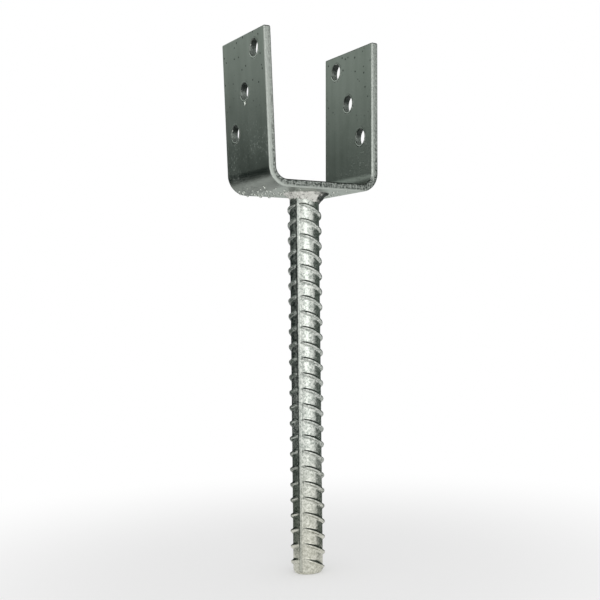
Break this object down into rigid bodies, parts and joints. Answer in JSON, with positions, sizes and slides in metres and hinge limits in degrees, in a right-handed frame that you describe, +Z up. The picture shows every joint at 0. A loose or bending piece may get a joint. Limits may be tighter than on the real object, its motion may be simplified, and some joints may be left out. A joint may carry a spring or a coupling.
{
  "type": "post base",
  "caption": "U-shaped post base folded from flat steel, with a slanting row of screw holes in each leg and a ribbed bar welded under the web to be cast into concrete.",
  "frame": {"origin": "middle of the seat: the centre of the upper face of the web, midway between the legs and between the long edges of the strip", "axes": "+Z up out of the seat, between the legs and away from the bar; X from the left leg (-X) to the right leg (+X); Y along the width of the strip"},
  "size_m": [0.0853, 0.06, 0.35],
  "materials": {
    "galvanised_strip": "hot-dip galvanised, satin grey with faint streaks",
    "galvanised_bar": "hot-dip galvanised, bright and mottled",
    "galvanised_weld": "hot-dip galvanised over a rough bead"
  },
  "bodies": {
    "root": {"u_bracket": "galvanised_strip", "anchor_bar": "galvanised_bar", "weld_bead": "galvanised_weld"}
  },
  "joints": []
}
